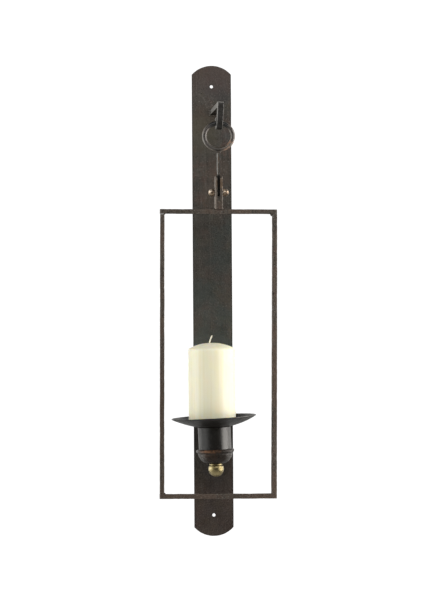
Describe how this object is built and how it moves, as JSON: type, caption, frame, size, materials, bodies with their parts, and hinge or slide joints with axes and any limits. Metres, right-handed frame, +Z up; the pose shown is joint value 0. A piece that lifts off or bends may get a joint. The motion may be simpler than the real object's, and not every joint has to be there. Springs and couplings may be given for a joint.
{
  "type": "pillar candle wall sconce",
  "caption": "Iron wall sconce: a flat strap with a cup and drip pan for a pillar candle, behind a square-bar stirrup frame hung from a hook by a ring and pivot.",
  "frame": {"origin": "middle of the backplate's back face, halfway between its screw holes, on the wall", "axes": "+Z up along the strap, +Y into the wall, so the object stands out towards -Y; +X to the right as seen from the front"},
  "size_m": [0.1904, 0.1405, 0.7618],
  "materials": {
    "dark_iron": "waxed, mottled dark bronze iron with rust blushes",
    "bare_steel": "plain turned steel",
    "bronze": "dark aged bronze, worn at the heads",
    "brass": "aged satin brass",
    "wax": "ivory wax, satin and slightly translucent",
    "wick_cotton": "waxed braided cotton"
  },
  "bodies": {
    "wall_bracket": {"backplate": "dark_iron", "hook": "dark_iron", "hook_weld": "dark_iron", "cup_arm": "dark_iron", "arm_weld": "dark_iron", "drip_pan": "dark_iron", "cup_sleeve": "dark_iron", "cup_bowl": "dark_iron", "bowl_bead": "dark_iron", "tie_rod": "bare_steel", "pan_washer": "bare_steel", "pricket": "bare_steel", "finial_collar": "brass", "finial_ball": "brass"},
    "ring_link": {"hanging_ring": "dark_iron", "ring_shank": "dark_iron", "shank_weld": "dark_iron"},
    "stirrup_frame": {"clevis": "dark_iron", "clevis_weld": "dark_iron", "pivot_pin": "bronze", "pivot_ball_left": "bronze", "pivot_ball_right": "bronze", "frame_top_bar": "dark_iron", "frame_bottom_bar": "dark_iron", "frame_left_bar": "dark_iron", "frame_right_bar": "dark_iron", "corner_welds": "dark_iron"},
    "candle": {"candle": "wax", "candle_wick": "wick_cotton"}
  },
  "joints": [
    {"name": "ring_swing", "type": "hinge", "parent": "wall_bracket", "child": "ring_link", "pos_m": [0.0064, -0.072, 0.2835], "axis": [-1, 0, 0.007], "range_deg": [-3, 30]},
    {"name": "frame_swing", "type": "hinge", "parent": "ring_link", "child": "stirrup_frame", "pos_m": [0.00562, -0.072, 0.1725], "axis": [-1, 0, 0.007], "range_deg": [-3.5, 90]},
    {"name": "candle_lift", "type": "slide", "parent": "wall_bracket", "child": "candle", "axis": [-0.0384, 0, 0.9993], "range_m": [0, 0.06]}
  ]
}
